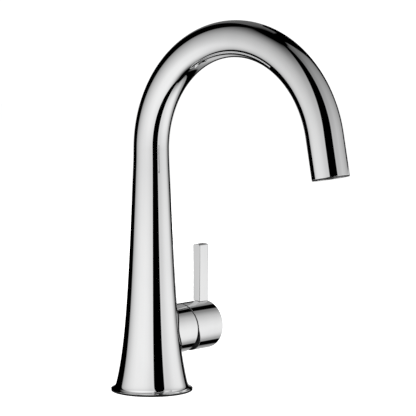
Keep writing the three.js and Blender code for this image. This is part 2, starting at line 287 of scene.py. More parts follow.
def noise(tree, scale, detail=3.0, stretch=(1, 1, 1)):
    """Noise of about `scale` features in a metre, which `stretch` multiplies along each axis."""
    place = tree.nodes.new("ShaderNodeTexCoord")
    mapping = tree.nodes.new("ShaderNodeMapping")
    mapping.inputs["Scale"].default_value = stretch
    texture = tree.nodes.new("ShaderNodeTexNoise")
    texture.inputs["Scale"].default_value = scale
    texture.inputs["Detail"].default_value = detail
    tree.links.new(place.outputs["Object"], mapping.inputs["Vector"])
    tree.links.new(mapping.outputs["Vector"], texture.inputs["Vector"])
    return texture.outputs["Fac"]


def spread(tree, value, low, high):
    """The middle of a noise, stretched to run from low to high."""
    scale = tree.nodes.new("ShaderNodeMapRange")
    scale.inputs["From Min"].default_value = 0.3
    scale.inputs["From Max"].default_value = 0.7
    scale.inputs["To Min"].default_value = low
    scale.inputs["To Max"].default_value = high
    tree.links.new(value, scale.inputs["Value"])
    return scale.outputs["Result"]


def mixed(tree, value, one, two):
    """A colour that runs from one to two with a noise."""
    ramp = tree.nodes.new("ShaderNodeValToRGB")
    ramp.color_ramp.elements[0].position = 0.35
    ramp.color_ramp.elements[0].color = (*one, 1)
    ramp.color_ramp.elements[1].position = 0.65
    ramp.color_ramp.elements[1].color = (*two, 1)
    tree.links.new(value, ramp.inputs["Fac"])
    return ramp.outputs["Color"]


def relief(tree, shader, height, depth):
    """Surface relief of about that depth in millimetres."""
    bump = tree.nodes.new("ShaderNodeBump")
    bump.inputs["Strength"].default_value = 1.0
    bump.inputs["Distance"].default_value = depth * MM
    tree.links.new(height, bump.inputs["Height"])
    tree.links.new(bump.outputs["Normal"], shader.inputs["Normal"])


def surface(name, dark, light, rough, grain, depth, metallic=0.0, stretch=(1, 1, 1)):
    """A material with cloudy colour from dark to light, an uneven roughness and a fine grain."""
    material, tree, shader = new_material(name, metallic)
    cloud = noise(tree, grain / 12, 4.0, stretch)
    fine = noise(tree, grain, 2.0, stretch)
    tree.links.new(mixed(tree, cloud, dark, light), shader.inputs["Base Color"])
    tree.links.new(spread(tree, fine, *rough), shader.inputs["Roughness"])
    relief(tree, shader, fine, depth)
    return material


def chrome():
    """Mirror-polished plate, with faint wiping marks and the slow ripple of a hand-polished casting."""
    material, tree, shader = new_material("polished chrome", 1.0)
    wipe = noise(tree, 60, 5.0, (1, 1, 0.35))
    plate = mixed(tree, wipe, (0.905, 0.908, 0.912), (0.93, 0.931, 0.933))
    tree.links.new(plate, shader.inputs["Base Color"])
    tree.links.new(spread(tree, wipe, 0.018, 0.045), shader.inputs["Roughness"])
    relief(tree, shader, noise(tree, 45, 1.0), 0.002)
    return material


def brass():
    return surface(
        "turned brass", dark=(0.46, 0.33, 0.13), light=(0.66, 0.5, 0.22), rough=(0.2, 0.42),
        grain=900, depth=0.01, metallic=1.0, stretch=(0.05, 0.05, 1),
    )


def steel():
    return surface(
        "brushed steel", dark=(0.42, 0.43, 0.44), light=(0.58, 0.58, 0.59), rough=(0.2, 0.4),
        grain=1400, depth=0.006, metallic=1.0, stretch=(0.05, 1, 1),
    )


def copper():
    return surface(
        "drawn copper", dark=(0.6, 0.28, 0.15), light=(0.82, 0.44, 0.27), rough=(0.18, 0.38),
        grain=900, depth=0.008, metallic=1.0, stretch=(1, 1, 0.03),
    )


def rubber():
    return surface(
        "black rubber", dark=(0.012, 0.012, 0.012), light=(0.03, 0.03, 0.031), rough=(0.55, 0.8),
        grain=1500, depth=0.02,
    )


def dark_plastic():
    return surface(
        "black acetal", dark=(0.022, 0.022, 0.024), light=(0.036, 0.036, 0.038), rough=(0.35, 0.5),
        grain=1800, depth=0.01,
    )


def white_plastic():
    return surface(
        "white acetal", dark=(0.68, 0.67, 0.63), light=(0.76, 0.75, 0.72), rough=(0.3, 0.45),
        grain=1500, depth=0.008,
    )


def ceramic():
    return surface(
        "lapped ceramic", dark=(0.76, 0.74, 0.7), light=(0.84, 0.83, 0.8), rough=(0.1, 0.2),
        grain=2500, depth=0.002,
    )


def braid():
    """Crossed strands of a nylon sleeve. The hose's UV map counts strands round it and along it."""
    material, tree, shader = new_material("braided nylon")
    place = tree.nodes.new("ShaderNodeTexCoord")
    axes = tree.nodes.new("ShaderNodeSeparateXYZ")
    tree.links.new(place.outputs["UV"], axes.inputs["Vector"])
    strands = []
    for operation in ("ADD", "SUBTRACT"):
        along = calculate(tree, operation, axes.outputs["X"], axes.outputs["Y"])
        ridge = calculate(tree, "COSINE", calculate(tree, "MULTIPLY", along, TURN))
        strands.append(ridge)
    weave = calculate(tree, "MULTIPLY_ADD", calculate(tree, "MAXIMUM", *strands), 0.5, 0.5)
    tree.links.new(mixed(tree, weave, (0.045, 0.047, 0.05), (0.32, 0.33, 0.35)), shader.inputs["Base Color"])
    tree.links.new(spread(tree, noise(tree, 700), 0.35, 0.55), shader.inputs["Roughness"])
    relief(tree, shader, weave, 0.25)
    return material


finishes = {
    "chrome": chrome(), "brass": brass(), "steel": steel(), "copper": copper(), "rubber": rubber(),
    "dark_plastic": dark_plastic(), "white_plastic": white_plastic(), "ceramic": ceramic(), "hose": braid(),
}


def fit(piece, body, finish, *nodes):
    """The piece rides on a body, takes a finish, and stands for its CAD nodes."""
    piece.data.materials.append(finishes[finish])
    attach(piece, body)
    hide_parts(*nodes)
    return piece


# The column and the spout: one polished skin


def column_radius(z):
    """The column's radius at a height: a tube that widens below the arch, flares and ends in a curl."""
    drop = max(0.0, ARCH_START - z)
    taper = drop ** 2 / (2 * TAPER_BLEND) if drop < TAPER_BLEND else drop - TAPER_BLEND / 2
    flare = FLARE * math.exp(-z / FLARE_FADE)
    curl = CURL * math.exp(-(z - LIP_TOP) / CURL_FADE)
    return TUBE_RADIUS + TAPER_SLOPE * taper + flare + curl


def column_ring(radius, z):
    """A level ring round the column's axis."""
    return circle(z * Z_AXIS, X_AXIS, Y_AXIS, radius)


def spout_ring(radius, angle, beyond=0.0):
    """A ring square to the spout's axis, at an angle round its arch or beyond it."""
    centre, outward, _ = spout_frame(angle, beyond)
    return circle(centre, X_AXIS, outward, radius)


def heights(bottom, top, count, crowd):
    """Heights that crowd toward the foot, where the flare turns quickest."""
    return [bottom + (top - bottom) * (i / count) ** crowd for i in range(count + 1)]


def lip():
    """The foot's rim: a crisp edge above an underside that slopes in."""
    underside, crisp = LIP_RADIUS - 1.3, 0.1
    return rounded([
        (LIP_RADIUS - 2, LIP_BOTTOM), (underside, LIP_BOTTOM, crisp), (LIP_RADIUS, LIP_EDGE, crisp),
        (column_radius(CURL_BOTTOM), CURL_BOTTOM),
    ], closed=False)[1:-1]


def faucet_skin():
    """The column, the arch and the tip in one surface, inside and out, from the lip round and back."""
    column_rows, arch_rows, inner_rows = 80, 120, 30
    edge, mouth_chamfer, tube_foot = 0.5, 0.3, 12
    tip = TIP_LENGTH - OUTLET_SEAL_TOP - 0.1
    bore = TUBE_RADIUS - TUBE_WALL
    rings = [column_ring(radius, z) for radius, z in lip()]
    rings += [column_ring(column_radius(z), z) for z in heights(CURL_BOTTOM, ARCH_START, column_rows, 2.2)]
    rings += [spout_ring(TUBE_RADIUS, ARCH_SWEEP * i / arch_rows) for i in range(1, arch_rows + 1)]
    for back, drop in quarter(edge):
        rings.append(spout_ring(TUBE_RADIUS - drop, ARCH_SWEEP, tip - back))
    rings.append(spout_ring(bore + mouth_chamfer, ARCH_SWEEP, tip))
    rings.append(spout_ring(bore, ARCH_SWEEP, tip - mouth_chamfer))
    rings += [spout_ring(bore, ARCH_SWEEP * i / inner_rows) for i in reversed(range(inner_rows + 1))]
    inner = heights(WEB_TOP, ARCH_START - tube_foot, inner_rows, 1.0)
    rings += [column_ring(column_radius(z) - BODY_WALL, z) for z in reversed(inner)]
    rings += [column_ring(WEB_RADIUS, WEB_TOP), column_ring(WEB_RADIUS, WEB_BOTTOM)]
    rings += [column_ring(column_radius(WEB_BOTTOM) - BODY_WALL, WEB_BOTTOM)]
    rings += [column_ring(column_radius(WEB_BOTTOM / 2) - BODY_WALL, LIP_BOTTOM)]
    return stitched("faucet_skin", rings)


def deck_ring():
    """The fixed ring that the column turns on, its outer edge set back for the foot gasket."""
    bore, hub, shoulder, outer = SHANK_RADIUS + GAP, 24, 34, GASKET_BORE - 0.1
    groove_bore, groove_outer, groove_top = 29, 32, 1.5
    flange_top, shoulder_top, top = 1, 4, span("deck_ring")[1].z
    return turned("deck_ring_turned", [
        (bore, 0, 0.3), (groove_bore, 0), (groove_bore, groove_top), (groove_outer, groove_top),
        (groove_outer, 0), (outer, 0, 0.1), (outer, flange_top), (shoulder, flange_top),
        (shoulder, shoulder_top), (hub, shoulder_top, 0.3), (hub, top, 0.5), (bore, top, 0.5),
    ])


def foot_gasket():
    """The thin black ring between the foot and the deck."""
    outer, bottom, top = span("deck_ring")[1].x, 0.05, LIP_BOTTOM - 0.1
    return turned("foot_gasket", [
        (GASKET_BORE, bottom), (outer, bottom, 0.2), (outer, top, 0.2), (GASKET_BORE, top),
    ], UPRIGHT, SIDES)


# The valve housing: a sleeve that meets the column in a saddle, with the drilled pot behind it


def clear_of_column(distance):
    """A saddle at a distance from the column: the place on X for an angle and a radius of the sleeve."""
    def place(angle, radius):
        y = radius * math.cos(angle)
        z = VALVE_Z + radius * math.sin(angle)
        return math.sqrt((column_radius(z) + GAP) ** 2 - y ** 2) + distance
    return place


def valve_ring(radius, along):
    """A ring round the valve's axis; along is a place on X or a function of the angle and the radius."""
    ring = []
    for i in range(SIDES):
        angle = TURN * i / SIDES
        x = along(angle, radius) if callable(along) else along
        ring.append(Vector((x, radius * math.cos(angle), VALVE_Z + radius * math.sin(angle))))
    return ring


def valve_centre(x):
    """A point on the valve's axis, as a ring of one point."""
    return [Vector((x, 0, VALVE_Z))]


def valve_housing():
    """The sleeve and its stepped bore, with softened edges at both of its ends."""
    edge, mouth_chamfer = 0.35, 0.4
    rings = [valve_centre(SEAT_X), valve_ring(BORE_RADIUS, SEAT_X), valve_ring(BORE_RADIUS, MOUTH_X)]
    rings += [valve_ring(MOUTH_RADIUS, MOUTH_X), valve_ring(MOUTH_RADIUS, HOUSING_END - mouth_chamfer)]
    rings += [valve_ring(MOUTH_RADIUS + mouth_chamfer, HOUSING_END)]
    for back, drop in reversed(quarter(edge)):
        rings.append(valve_ring(HOUSING_RADIUS - drop, HOUSING_END - back))
    for back, drop in quarter(edge):
        rings.append(valve_ring(HOUSING_RADIUS - drop, clear_of_column(SEAL + back)))
    rings += [valve_ring(POT_RADIUS, clear_of_column(SEAL)), valve_ring(POT_RADIUS, POT_BACK)]
    rings += [valve_centre(POT_BACK)]
    return stitched("valve_housing_cast", rings, closed=False)


# The handle: a cap with its rim cut away below, and a flat upright lever


def cap_rim(angle, radius):
    """The rim's place along X: upright above the axis, and leaning outward below it."""
    below = -radius * math.sin(angle)
    blend = 1.5
    return CAP_START + CAP_SLOPE * (below + math.sqrt(below ** 2 + blend ** 2) - blend) / 2


def behind_rim(distance):
    """The cap's rim set back by a distance."""
    return lambda angle, radius: cap_rim(angle, radius) + distance


def handle_cap():
    """The cap with its hub and its hollow. Its metal starts behind the lip of the liner."""
    rim_edge, end_edge, hub_chamfer, hollow_chamfer = 0.35, 1.0, 0.5, 0.4
    rings = [valve_centre(HUB_FACE), valve_ring(HUB_RADIUS - hub_chamfer, HUB_FACE)]
    rings += [valve_ring(HUB_RADIUS, HUB_FACE + hub_chamfer), valve_ring(HUB_RADIUS, CAP_HOLLOW)]
    rings += [valve_ring(CAP_HOLLOW_RADIUS, CAP_HOLLOW)]
    rings += [valve_ring(CAP_HOLLOW_RADIUS, behind_rim(LINER_LIP + hollow_chamfer))]
    rings += [valve_ring(CAP_HOLLOW_RADIUS + hollow_chamfer, behind_rim(LINER_LIP))]
    for back, drop in reversed(quarter(rim_edge)):
        rings.append(valve_ring(HOUSING_RADIUS - drop, behind_rim(LINER_LIP + back)))
    for back, drop in quarter(end_edge):
        rings.append(valve_ring(HOUSING_RADIUS - drop, CAP_END - back))
    rings.append(valve_centre(CAP_END))
    return stitched("handle_cap_turned", rings, closed=False)


def lever():
    """A bar whose foot follows the cap, with rounded top corners and softened edges all round."""
    low, high = span("lever_bar")
    corner, edge, foot_steps, corner_steps = 1.6, 0.9, 12, 8
    half, top = high.y, high.z - VALVE_Z
    foot = HOUSING_RADIUS + GAP
    reach = math.asin(half / foot)
    outline = []
    for i in range(foot_steps + 1):
        lean = reach * (2 * i / foot_steps - 1)
        outline.append(Vector((foot * math.sin(lean), foot * math.cos(lean))))
    for side, first in ((1, 0), (-1, math.pi / 2)):
        centre = Vector((side * (half - corner), top - corner))
        for i in range(corner_steps + 1):
            swing = first + math.pi / 2 * i / corner_steps
            outline.append(centre + corner * Vector((math.cos(swing), math.sin(swing))))
    shell = bmesh.new()
    near = [shell.verts.new(Vector((low.x, y, VALVE_Z + z)) * MM) for y, z in outline]
    far = [shell.verts.new(Vector((high.x, y, VALVE_Z + z)) * MM) for y, z in outline]
    ends = [shell.faces.new(near), shell.faces.new(far)]
    for i in range(len(outline)):
        k = (i + 1) % len(outline)
        shell.faces.new((near[i], near[k], far[k], far[i]))
    rims = [rim for end in ends for rim in end.edges]
    bmesh.ops.bevel(shell, geom=rims, offset=edge * MM, segments=5, profile=0.5, affect="EDGES")
    return finished("lever_polished", shell)


fit(faucet_skin(), "column", "chrome", "column_body", "spout_tube")
fit(deck_ring(), "base", "chrome", "deck_ring")
fit(foot_gasket(), "base", "rubber")
fit(valve_housing(), "column", "chrome", "valve_housing")
fit(handle_cap(), "handle", "chrome", "handle_cap")
fit(lever(), "handle", "chrome", "lever_bar")


# The dark parts that close the valve's gaps: a gasket on the column, a liner in the cap, and a dust ring


def saddle_seal():
    """The black gasket between the sleeve and the column."""
    outer, inner, squeeze = HOUSING_RADIUS - 0.1, POT_RADIUS + 0.1, 0.05
    near, far = clear_of_column(squeeze - GAP), clear_of_column(SEAL - squeeze)
    rings = [valve_ring(inner, near), valve_ring(outer, near), valve_ring(outer, far), valve_ring(inner, far)]
    return stitched("saddle_seal", rings)


def cap_liner():
    """A thin plastic cup that lines the hollow of the cap, with a lip that covers the cap's slanted rim."""
    wall, lip_radius, hub = 0.8, HOUSING_RADIUS - 0.2, HUB_RADIUS + 0.1
    outer, inner = CAP_HOLLOW_RADIUS - 0.05, CAP_HOLLOW_RADIUS - wall
    back, seat = CAP_HOLLOW - 0.1, behind_rim(LINER_LIP - 0.02)
    rings = [valve_ring(lip_radius, cap_rim), valve_ring(lip_radius, seat), valve_ring(outer, seat)]
    rings += [valve_ring(outer, back), valve_ring(hub, back), valve_ring(hub, back - wall)]
    rings += [valve_ring(inner, back - wall), valve_ring(inner, cap_rim)]
    return stitched("cap_liner", rings)


def dust_ring():
    """A rubber plate over the cartridge nut and the sleeve's end, low enough for the cap to tilt over it."""
    hole, lodged, outer = span("stem_guide")[1].y + GAP, MOUTH_RADIUS - 0.1, HOUSING_RADIUS - 0.4
    bottom, ledge, top = HOUSING_END - 0.7, HOUSING_END + 0.02, HOUSING_END + 0.1
    return turned("dust_ring", [
        (hole, bottom), (lodged, bottom), (lodged, ledge),
        (outer, ledge), (outer, top, 0.04), (hole, top, 0.1),
    ], ON_VALVE)


fit(saddle_seal(), "column", "rubber")
fit(cap_liner(), "handle", "dark_plastic")
fit(dust_ring(), "column", "rubber")


# The wand, from its thin collar at the outlet up to its hose nut. Heights run back up the tip from the outlet

NUT_BOTTOM = 62.3
NUT_TOP = 71
NUT_RADIUS = 8.5
NUT_BORE = 3.2
SEAL_BORE = 16.2
AERATOR_SEAT = 12.7


def wand_collar():
    """The bright ring round the aerator, inside the outlet seal."""
    inner, outer = AERATOR_SEAT + 0.2, SEAL_BORE - 0.05
    return turned("wand_collar_turned", [
        (inner, COLLAR_HEIGHT), (inner, 0, 0.3), (outer, 0, 0.2), (outer, COLLAR_HEIGHT),
    ], ON_TIP, SIDES)


def outlet_seal():
    """A black lip that closes the gap between the collar and the spout's end."""
    outer, bottom = TUBE_RADIUS - 0.1, 0.1
    return turned("outlet_seal", [
        (SEAL_BORE, OUTLET_SEAL_TOP), (SEAL_BORE, bottom), (outer, bottom, 0.2), (outer, OUTLET_SEAL_TOP),
    ], ON_TIP, SIDES)


def wand_body():
    """A ribbed shell that slides in the dock bush, tapering to the hose nut."""
    bottom, top, seat_top = COLLAR_HEIGHT + GAP, 62, 14
    waterway, nut_bore = 9, 4
    side = []
    for height in (8, 12, 34):
        for drop, rise in ((0, 0), (0.5, 0.4), (0.5, 1.2), (0, 1.6)):
            side.append((WAND_RADIUS - drop, height + rise))
    neck = [(WAND_RADIUS, 38, 3), (10.5, 55, 3), (7.5, top, 0.4)]
    inside = [(nut_bore, top), (nut_bore, 52), (waterway, 50), (waterway, seat_top), (AERATOR_SEAT, seat_top)]
    return turned("wand_body_moulded", [
        (AERATOR_SEAT, bottom, 0.3), (WAND_RADIUS, bottom, 0.3), *side, *neck, *inside,
    ], ON_TIP)


def aerator():
    """A face with rings of spray holes, cut from a flat disc with chamfered edges."""
    outer, bottom, thickness, chamfer, hole = 12.3, 0.5, 4.5, 0.25, 1.1
    face = bpy.data.curves.new("aerator_moulded", "CURVE")
    face.dimensions = "2D"
    face.fill_mode = "BOTH"
    face.extrude = (thickness / 2 - chamfer) * MM
    face.bevel_depth = chamfer * MM
    face.bevel_resolution = 2
    circles = [(0, 0, outer - chamfer), (0, 0, hole + chamfer)]
    for count, distance in ((6, 4), (12, 8)):
        for i in range(count):
            angle = TURN * i / count
            circles.append((distance * math.cos(angle), distance * math.sin(angle), hole + chamfer))
    for x, y, radius in circles:
        spline = face.splines.new("POLY")
        points = 64 if radius > outer / 2 else 20
        spline.points.add(points - 1)
        for i, point in enumerate(spline.points):
            angle = TURN * i / points
            point.co = ((x + radius * math.cos(angle)) * MM, (y + radius * math.sin(angle)) * MM, 0, 1)
        spline.use_cyclic_u = True
    outline = bpy.data.objects.new("outline", face)
    bpy.context.scene.collection.objects.link(outline)
    bpy.context.view_layer.update()
    solid = bpy.data.meshes.new_from_object(outline.evaluated_get(bpy.context.evaluated_depsgraph_get()))
    bpy.data.objects.remove(outline)
    shell = bmesh.new()
    shell.from_mesh(solid)
    bpy.data.meshes.remove(solid)
    shell.verts.ensure_lookup_table()
    lift = Matrix.Translation((0, 0, bottom + thickness / 2))
    for vert in shell.verts:
        vert.co = ON_TIP @ lift @ (vert.co / MM) * MM
    bmesh.ops.remove_doubles(shell, verts=shell.verts, dist=1e-6)
    return finished("aerator_moulded", shell)


fit(wand_collar(), "wand", "chrome", "wand_collar")
fit(outlet_seal(), "wand", "rubber")
fit(wand_body(), "wand", "dark_plastic", "wand_body")
fit(aerator(), "wand", "white_plastic", "aerator")
hose_nut = hexagon("hose_nut_hexagon", NUT_RADIUS, NUT_BORE, NUT_BOTTOM, NUT_TOP, ON_TIP)
fit(hose_nut, "hose_end", "brass", "hose_nut")


# The hose: a fixed run that follows the spout, and a last stretch that runs down the tip to the wand's nut

STRETCH_START = 88
PULL = 180
HOSE_SIDES = 24
STRANDS_ROUND = 12
STRAND_PITCH = TURN * HOSE_RADIUS / STRANDS_ROUND


def hose_route():
    """The points that the hose follows up the shank, past the valve and round the arch, as in the CAD.

    Up the column they are (x, z). Round the arch they are (degrees, distance out from its axis)."""
    column = (
        (-6.8, -70), (-6.8, -20), (-6.8, 20), (-11, 38), (-12, 60), (-11.5, 82),
        (-5, 115), (-1, 150), (0, 190), (0, 225),
    )
    arch = ((0, 0), (25, 0), (50, 0.3), (75, 1.5), (95, 4), (112, 7), (127, 9.2), (139, 10.2))
    route = [Vector((x, 0, z)) for x, z in column]
    for degrees, distance in arch:
        centre, outward, _ = spout_frame(math.radians(degrees))
        route.append(centre + distance * outward)
    route.append(ON_TIP @ Vector((0, 0, STRETCH_START)))
    return route


def curved(route, pieces):
    """Points along a smooth (Catmull-Rom) curve through a route."""
    points = []
    padded = [2 * route[0] - route[1], *route, 2 * route[-1] - route[-2]]
    for before, start, end, after in zip(padded, padded[1:], padded[2:], padded[3:]):
        slope = end - before
        bend = 2 * before - 5 * start + 4 * end - after
        twist = 3 * start - before - 3 * end + after
        for i in range(pieces):
            t = i / pieces
            points.append(0.5 * (2 * start + slope * t + bend * t ** 2 + twist * t ** 3))
    points.append(route[-1])
    return points


def braided(name, path, lengths):
    """A hose along a path. Its UV map counts strands by the given length at each point."""
    last = len(path) - 1
    rings = []
    for i, point in enumerate(path):
        ahead = (path[min(i + 1, last)] - path[max(i - 1, 0)]).normalized()
        across = (X_AXIS - X_AXIS.dot(ahead) * ahead).normalized()
        rings.append(circle(point, across, ahead.cross(across), HOSE_RADIUS, HOSE_SIDES))
    hose = stitched(name, [[path[0]], *rings, [path[-1]]], closed=False)
    layer = hose.data.uv_layers.new(name="strands")
    for face in hose.data.polygons:
        numbers = [hose.data.loops[k].vertex_index - 1 for k in face.loop_indices]
        rows = [min(max(number // HOSE_SIDES, 0), last) for number in numbers]
        columns = [number % HOSE_SIDES for number in numbers]
        wraps = max(columns) - min(columns) > HOSE_SIDES / 2
        for k, row, column in zip(face.loop_indices, rows, columns):
            past_seam = wraps and column < HOSE_SIDES / 2
            turn = column / HOSE_SIDES + (1 if past_seam else 0)
            layer.data[k].uv = (turn * STRANDS_ROUND / 2, lengths[row] / STRAND_PITCH / 2)
    return hose


def hose_run():
    """The fixed run, from below the shank to the start of the last stretch."""
    path = curved(hose_route(), 8)
    lengths = [0.0]
    for one, two in zip(path, path[1:]):
        lengths.append(lengths[-1] + (two - one).length)
    return braided("hose_run", path, lengths)


def hose_stretch():
    """The last stretch, down to the hose's nut.

    Its strands are spaced for the wand pulled right out, since at rest it is hidden in the spout."""
    steps, end = 60, NUT_TOP + GAP
    drop = STRETCH_START - end
    path = [ON_TIP @ Vector((0, 0, STRETCH_START - drop * i / steps)) for i in range(steps + 1)]
    lengths = []
    for i in range(steps + 1):
        t = i / steps
        lengths.append(drop * t + PULL * t * t * (3 - 2 * t))
    return braided("hose_stretch", path, lengths)


fit(hose_run(), "column", "hose", "wand_hose")
stretch = hose_stretch()
stretch.data.materials.append(finishes["hose"])
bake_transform(stretch)
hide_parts("hose_tail")


# Under the deck: the threaded shank, its clamping parts and the three copper tubes


def threaded_shank():
    """A tube with a real thread, whose rings of points rise by a fraction of a turn round the shank."""
    low, high = span("threaded_shank")
    thread_top, slices, sides = -1, 8, 72
    chamfer, foot_inset, foot_height = 0.5, 0.6, 0.8

    def ridge(z):
        """The radius at each angle: a trapezoid thread that fades at its ends, over a tapered foot."""
        fade = max(0, min(1, (z - low.z) / THREAD_PITCH, (thread_top - z) / THREAD_PITCH))
        foot = foot_inset * max(0, 1 - (z - low.z) / foot_height)

        def radius(angle):
            phase = (z / THREAD_PITCH - angle / TURN) % 1
            groove = min(1, max(0, 2.4 * abs(phase - 0.5) - 0.1))
            return SHANK_RADIUS - THREAD_DEPTH * groove * fade - foot
        return radius

    count = round((thread_top - low.z) / THREAD_PITCH * slices)
    levels = [low.z + (thread_top - low.z) * i / count for i in range(count + 1)]
    rings = [circle(z * Z_AXIS, X_AXIS, Y_AXIS, ridge(z), sides) for z in levels]
    rows = [
        (SHANK_RADIUS, high.z - chamfer), (SHANK_RADIUS - chamfer, high.z), (SHANK_BORE + chamfer, high.z),
        (SHANK_BORE, high.z - chamfer), (SHANK_BORE, low.z + chamfer), (SHANK_BORE + chamfer, low.z),
    ]
    rings += [circle(z * Z_AXIS, X_AXIS, Y_AXIS, radius, sides) for radius, z in rows]
    return stitched("shank_threaded", rings, True, sharp=50)


def washer(name, node, edge):
    """A washer on the shank in the place of a CAD node, with rounded edges."""
    low, high = span(node)
    bore = SHANK_RADIUS + GAP
    return turned(name, [
        (bore, low.z, edge), (high.x, low.z, edge), (high.x, high.z, edge), (bore, high.z, edge),
    ])


def clamp_nut():
    """The hexagon nut that clamps the faucet to the deck."""
    circumradius, bottom, top = 26.5, -58, -46.6
    return hexagon("clamp_nut_hexagon", circumradius, SHANK_RADIUS + GAP, bottom, top)


def water_line(name, node):
    """A copper tube with a rounded mouth at each end."""
    low, high = span(node)
    wall, round_end = 1, 0.3
    outer = (high.x - low.x) / 2
    centre = Matrix.Translation(((low.x + high.x) / 2, (low.y + high.y) / 2, 0))
    return turned(name, [
        (outer - wall, low.z, round_end), (outer, low.z, round_end), (outer, high.z, round_end),
        (outer - wall, high.z, round_end),
    ], centre, 32)


fit(threaded_shank(), "base", "brass", "threaded_shank")
fit(clamp_nut(), "base", "brass", "clamp_nut")
fit(washer("clamp_washer_pressed", "clamp_washer", 0.4), "base", "steel", "clamp_washer")
fit(washer("clamp_gasket_moulded", "clamp_gasket", 0.8), "base", "rubber", "clamp_gasket")
for line in ("cold_inlet", "hot_inlet", "mixed_outlet"):
    fit(water_line(line + "_drawn", line + "_tube"), "column", "copper", line + "_tube")


# Carried-over CAD nodes take the finish of their slot

for part in frame["record"]["subparts"]:
    node = frame["nodes"][part["node"]]
    if not node.hide_render:
        node.material_slots[0].link = "OBJECT"
        node.material_slots[0].material = finishes[part["material_slot"]]


# The studio: a pale floor with the tap hole in it, and a tent of soft panels seen only in reflections

TENT_CENTRE = Vector((0, -0.11, 0.15))
TENT_RADIUS = 0.5
PEAK = 0.94


class Panel:
    """A soft light on the tent, in degrees round the tent, from -Y toward +X, and degrees up it.

    An edge is its place, its blur, how far it moves for each degree up, and the height above which it moves.
    Around and upward are stops of (degrees, brightness), and the two are multiplied."""

    def __init__(self, left, right, around, upward):
        self.left = left
        self.right = right
        self.around = around
        self.upward = upward


# The stops below were measured from the photo. Scratch scripts traced the chrome's reflections in it, and
# fitted or tabulated their brightness by direction. The values were rounded, and some were changed.

FRONT_LEFT = Panel(
    left=(-160.5, 1.5, 0, 0), right=(-64.3, 1, 0.17, -90),
    around=[(-162, 0.4), (-150, 0.64), (-140, 0.79), (-130, 0.89), (-115, 0.97), (-90, 1), (-75, 0.965),
            (-62, 0.88), (-48, 0.84)],
    upward=[(-78, 0), (-76, 0.08), (-68, 0.34), (-60, 0.66), (-50, 0.88), (-38, 1), (-10, 0.99), (0, 0.93),
            (10, 0.84), (25, 0.72), (45, 0.56), (58, 0.41), (68, 0.24), (76, 0.1), (80, 0)],
)
FRONT_RIGHT = Panel(
    left=(-14.1, 1, 0.06, -90), right=(96, 2, -1, 33),
    around=[(-12, 0.8), (3, 0.78), (14, 0.84), (24, 0.91), (38, 0.97), (52, 0.97), (62, 0.95), (72, 0.86),
            (80, 0.66), (88, 0.43), (98, 0.36)],
    upward=[(-77, 0), (-76, 0.25), (-70, 0.52), (-60, 0.78), (-50, 0.95), (-40, 1), (-15, 0.98), (0, 0.9),
            (10, 0.81), (20, 0.7), (45, 0.5), (60, 0.36), (70, 0.21), (78, 0.13), (80, 0)],
)
BEHIND_LOW = Panel(
    left=(117.5, 2, 0, 0), right=(152, 3, 0, 0),
    around=[(116, 0.2), (126, 0.36), (136, 0.62), (150, 0.6)],
    upward=[(-80, 0), (-66, 0.5), (-55, 0.75), (-45, 1), (-20, 1), (-14, 0.7), (-9, 0)],
)
BEHIND_HIGH = Panel(
    left=(115, 2, -0.4, 33), right=(155, 3, 0, 0),
    around=[(100, 0.12), (160, 0.13)],
    upward=[(2, 0), (8, 2), (16, 2.4), (26, 2.2), (36, 1.3), (58, 1), (72, 0.8), (80, 0)],
)


def step(tree, value, low, high):
    """A smooth step from 0 to 1 as a value goes from low to high."""
    node = tree.nodes.new("ShaderNodeMapRange")
    node.interpolation_type = "SMOOTHSTEP"
    node.inputs["From Min"].default_value = low
    node.inputs["From Max"].default_value = high
    tree.links.new(value, node.inputs["Value"])
    return node.outputs["Result"]


def lookup(tree, value, stops):
    """The brightness at a value, from a list of (value, brightness) stops."""
    low, high = stops[0][0], stops[-1][0]
    scale = tree.nodes.new("ShaderNodeMapRange")
    scale.inputs["From Min"].default_value = low
    scale.inputs["From Max"].default_value = high
    curve = tree.nodes.new("ShaderNodeValToRGB")
    elements = curve.color_ramp.elements
    while len(elements) < len(stops):
        elements.new(0.5)
    for element, (stop, brightness) in zip(elements, stops):
        element.position = (stop - low) / (high - low)
        element.color = (brightness, brightness, brightness, 1)
    tree.links.new(value, scale.inputs["Value"])
    tree.links.new(scale.outputs["Result"], curve.inputs["Fac"])
    return curve.outputs["Color"]


def past(tree, edge, around, up):
    """0 before a panel's edge and 1 past it."""
    place, blur, lean, bend = edge
    above = calculate(tree, "MAXIMUM", calculate(tree, "SUBTRACT", up, bend), 0.0)
    straight = calculate(tree, "SUBTRACT", around, calculate(tree, "MULTIPLY", above, lean))
    return step(tree, straight, place - blur, place + blur)


def panel_light(tree, panel, around, up):
    """A panel's brightness in a direction: nothing outside its edges."""
    past_left = past(tree, panel.left, around, up)
    past_right = past(tree, panel.right, around, up)
    shape = calculate(tree, "SUBTRACT", past_left, past_right)
    level = calculate(tree, "MULTIPLY", lookup(tree, around, panel.around), lookup(tree, up, panel.upward))
    return calculate(tree, "MULTIPLY", shape, level)


def emission(name):
    """A new material with only an emission shader, which is seen but never sampled as a lamp."""
    material = bpy.data.materials.new(name)
    material.use_nodes = True
    tree = material.node_tree
    tree.nodes.remove(tree.nodes["Principled BSDF"])
    glow = tree.nodes.new("ShaderNodeEmission")
    tree.links.new(glow.outputs["Emission"], tree.nodes["Material Output"].inputs["Surface"])
    material.cycles.emission_sampling = "NONE"
    return material, tree, glow


